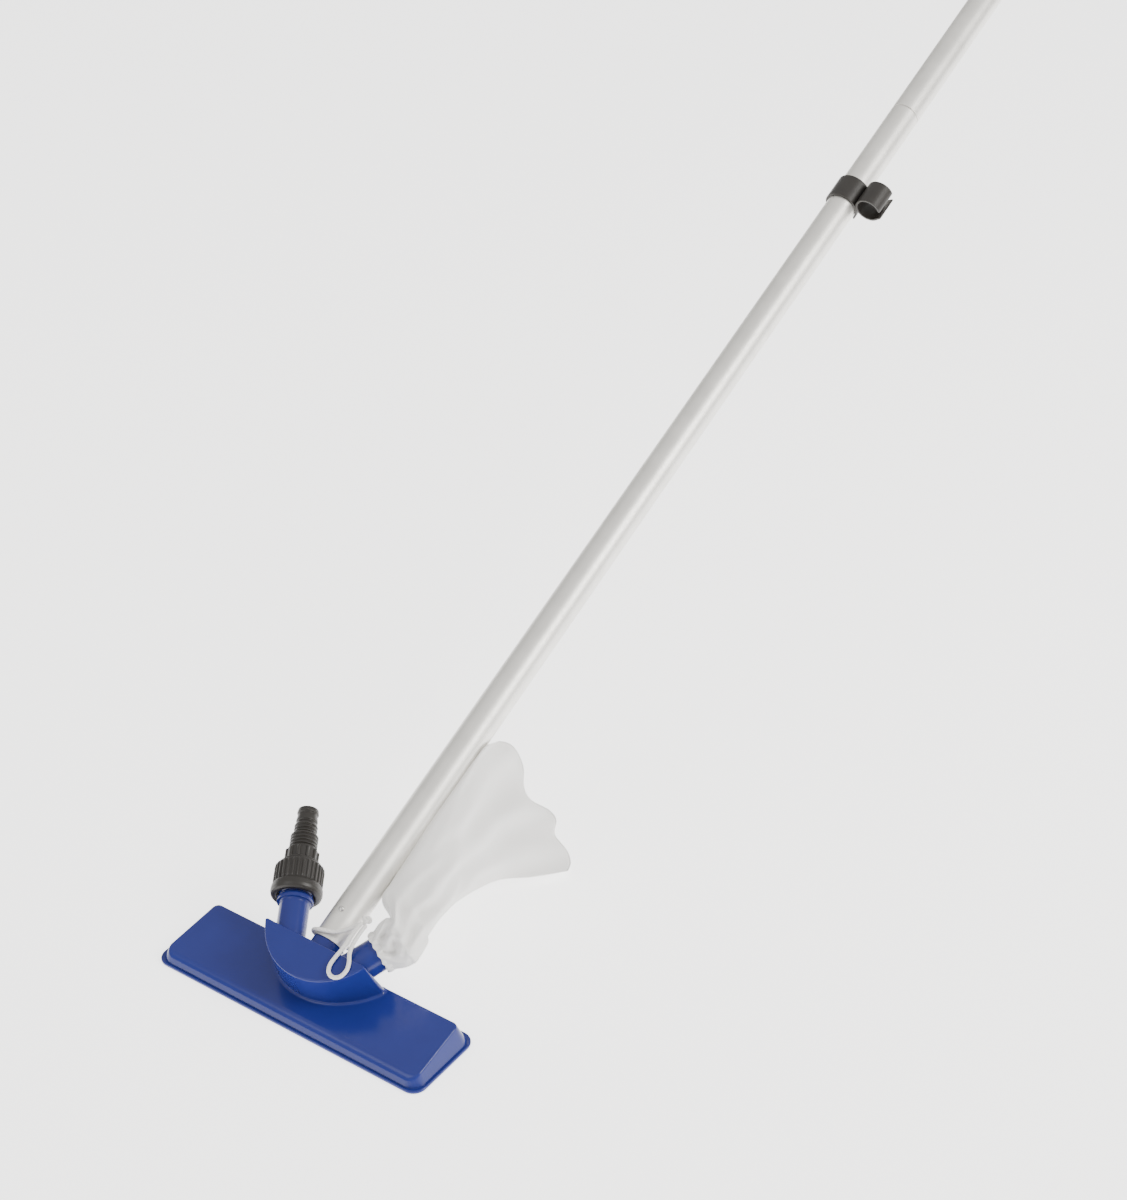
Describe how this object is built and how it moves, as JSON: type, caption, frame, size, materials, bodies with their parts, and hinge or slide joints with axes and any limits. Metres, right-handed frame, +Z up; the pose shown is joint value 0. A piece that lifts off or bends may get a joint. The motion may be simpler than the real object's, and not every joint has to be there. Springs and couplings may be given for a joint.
{
  "type": "pool cleaner",
  "caption": "Hose-driven pool cleaner: blue vacuum head with net bag and drawstring, black hose union, aluminium pole with snap buttons and a black hose clip.",
  "frame": {"origin": "centre of the head's sole, on the floor, at the bottom of the middle skid", "axes": "+X along the head, +Y to the back, the way the pole leans, +Z up"},
  "size_m": [0.29, 1.9293, 0.8861],
  "materials": {
    "blue_plastic": "glossy moulded blue",
    "black_plastic": "satin moulded black",
    "steel": "stainless",
    "aluminium": "satin drawn tube",
    "rubber": "plain black",
    "net": "fine white net",
    "cord": "braided white"
  },
  "bodies": {
    "head": {"head_shell": "blue_plastic", "suction_plate": "blue_plastic", "plate_screw_1": "steel", "plate_screw_2": "steel", "plate_screw_3": "steel", "plate_screw_4": "steel", "jet_nozzle": "black_plastic", "pole_lower": "aluminium", "pole_upper": "aluminium", "pole_end_cap": "black_plastic", "lower_spring": "steel", "upper_spring": "steel", "bag_hem": "net", "debris_bag": "net", "drawstring_wrap": "cord", "drawstring_loop": "cord", "drawstring_knot": "cord"},
    "washer": {"flat_washer": "rubber"},
    "nut": {"union_nut": "black_plastic"},
    "tail": {"hose_tail": "black_plastic"},
    "foot_button": {"lower_button": "steel"},
    "section_button": {"upper_button": "steel"},
    "clip": {"hose_clip": "black_plastic"}
  },
  "joints": [
    {"name": "washer_slide", "type": "slide", "parent": "head", "child": "washer", "axis": [-0.4848, 0.799, 0.3557], "range_m": [0, 0.0061]},
    {"name": "union_nut_turn", "type": "hinge", "parent": "washer", "child": "nut", "pos_m": [-0.06302, 0.06121, 0.06025], "axis": [-0.4848, 0.799, 0.3557], "range_deg": [0, 720]},
    {"name": "hose_tail_swivel", "type": "hinge", "parent": "washer", "child": "tail", "pos_m": [-0.06302, 0.06121, 0.06025], "axis": [-0.4848, 0.799, 0.3557], "continuous": true},
    {"name": "snap_button_press", "type": "slide", "parent": "head", "child": "foot_button", "axis": [0, 0.4067, -0.9135], "range_m": [0, 0.004], "stiffness_N_per_m": 800, "springref_m": -0.001, "deforming": ["lower_spring"]},
    {"name": "joint_button_press", "type": "slide", "parent": "head", "child": "section_button", "axis": [0, -0.4067, 0.9135], "range_m": [0, 0.004], "stiffness_N_per_m": 800, "springref_m": -0.001, "deforming": ["upper_spring"]},
    {"name": "hose_clip_slide", "type": "slide", "parent": "head", "child": "clip", "axis": [0, 0.9135, 0.4067], "range_m": [-0.65, 0.1]}
  ],
  "couplings": [
    {"joint": "washer_slide", "follows": "union_nut_turn", "m_per_rad": 0.00047746}
  ]
}
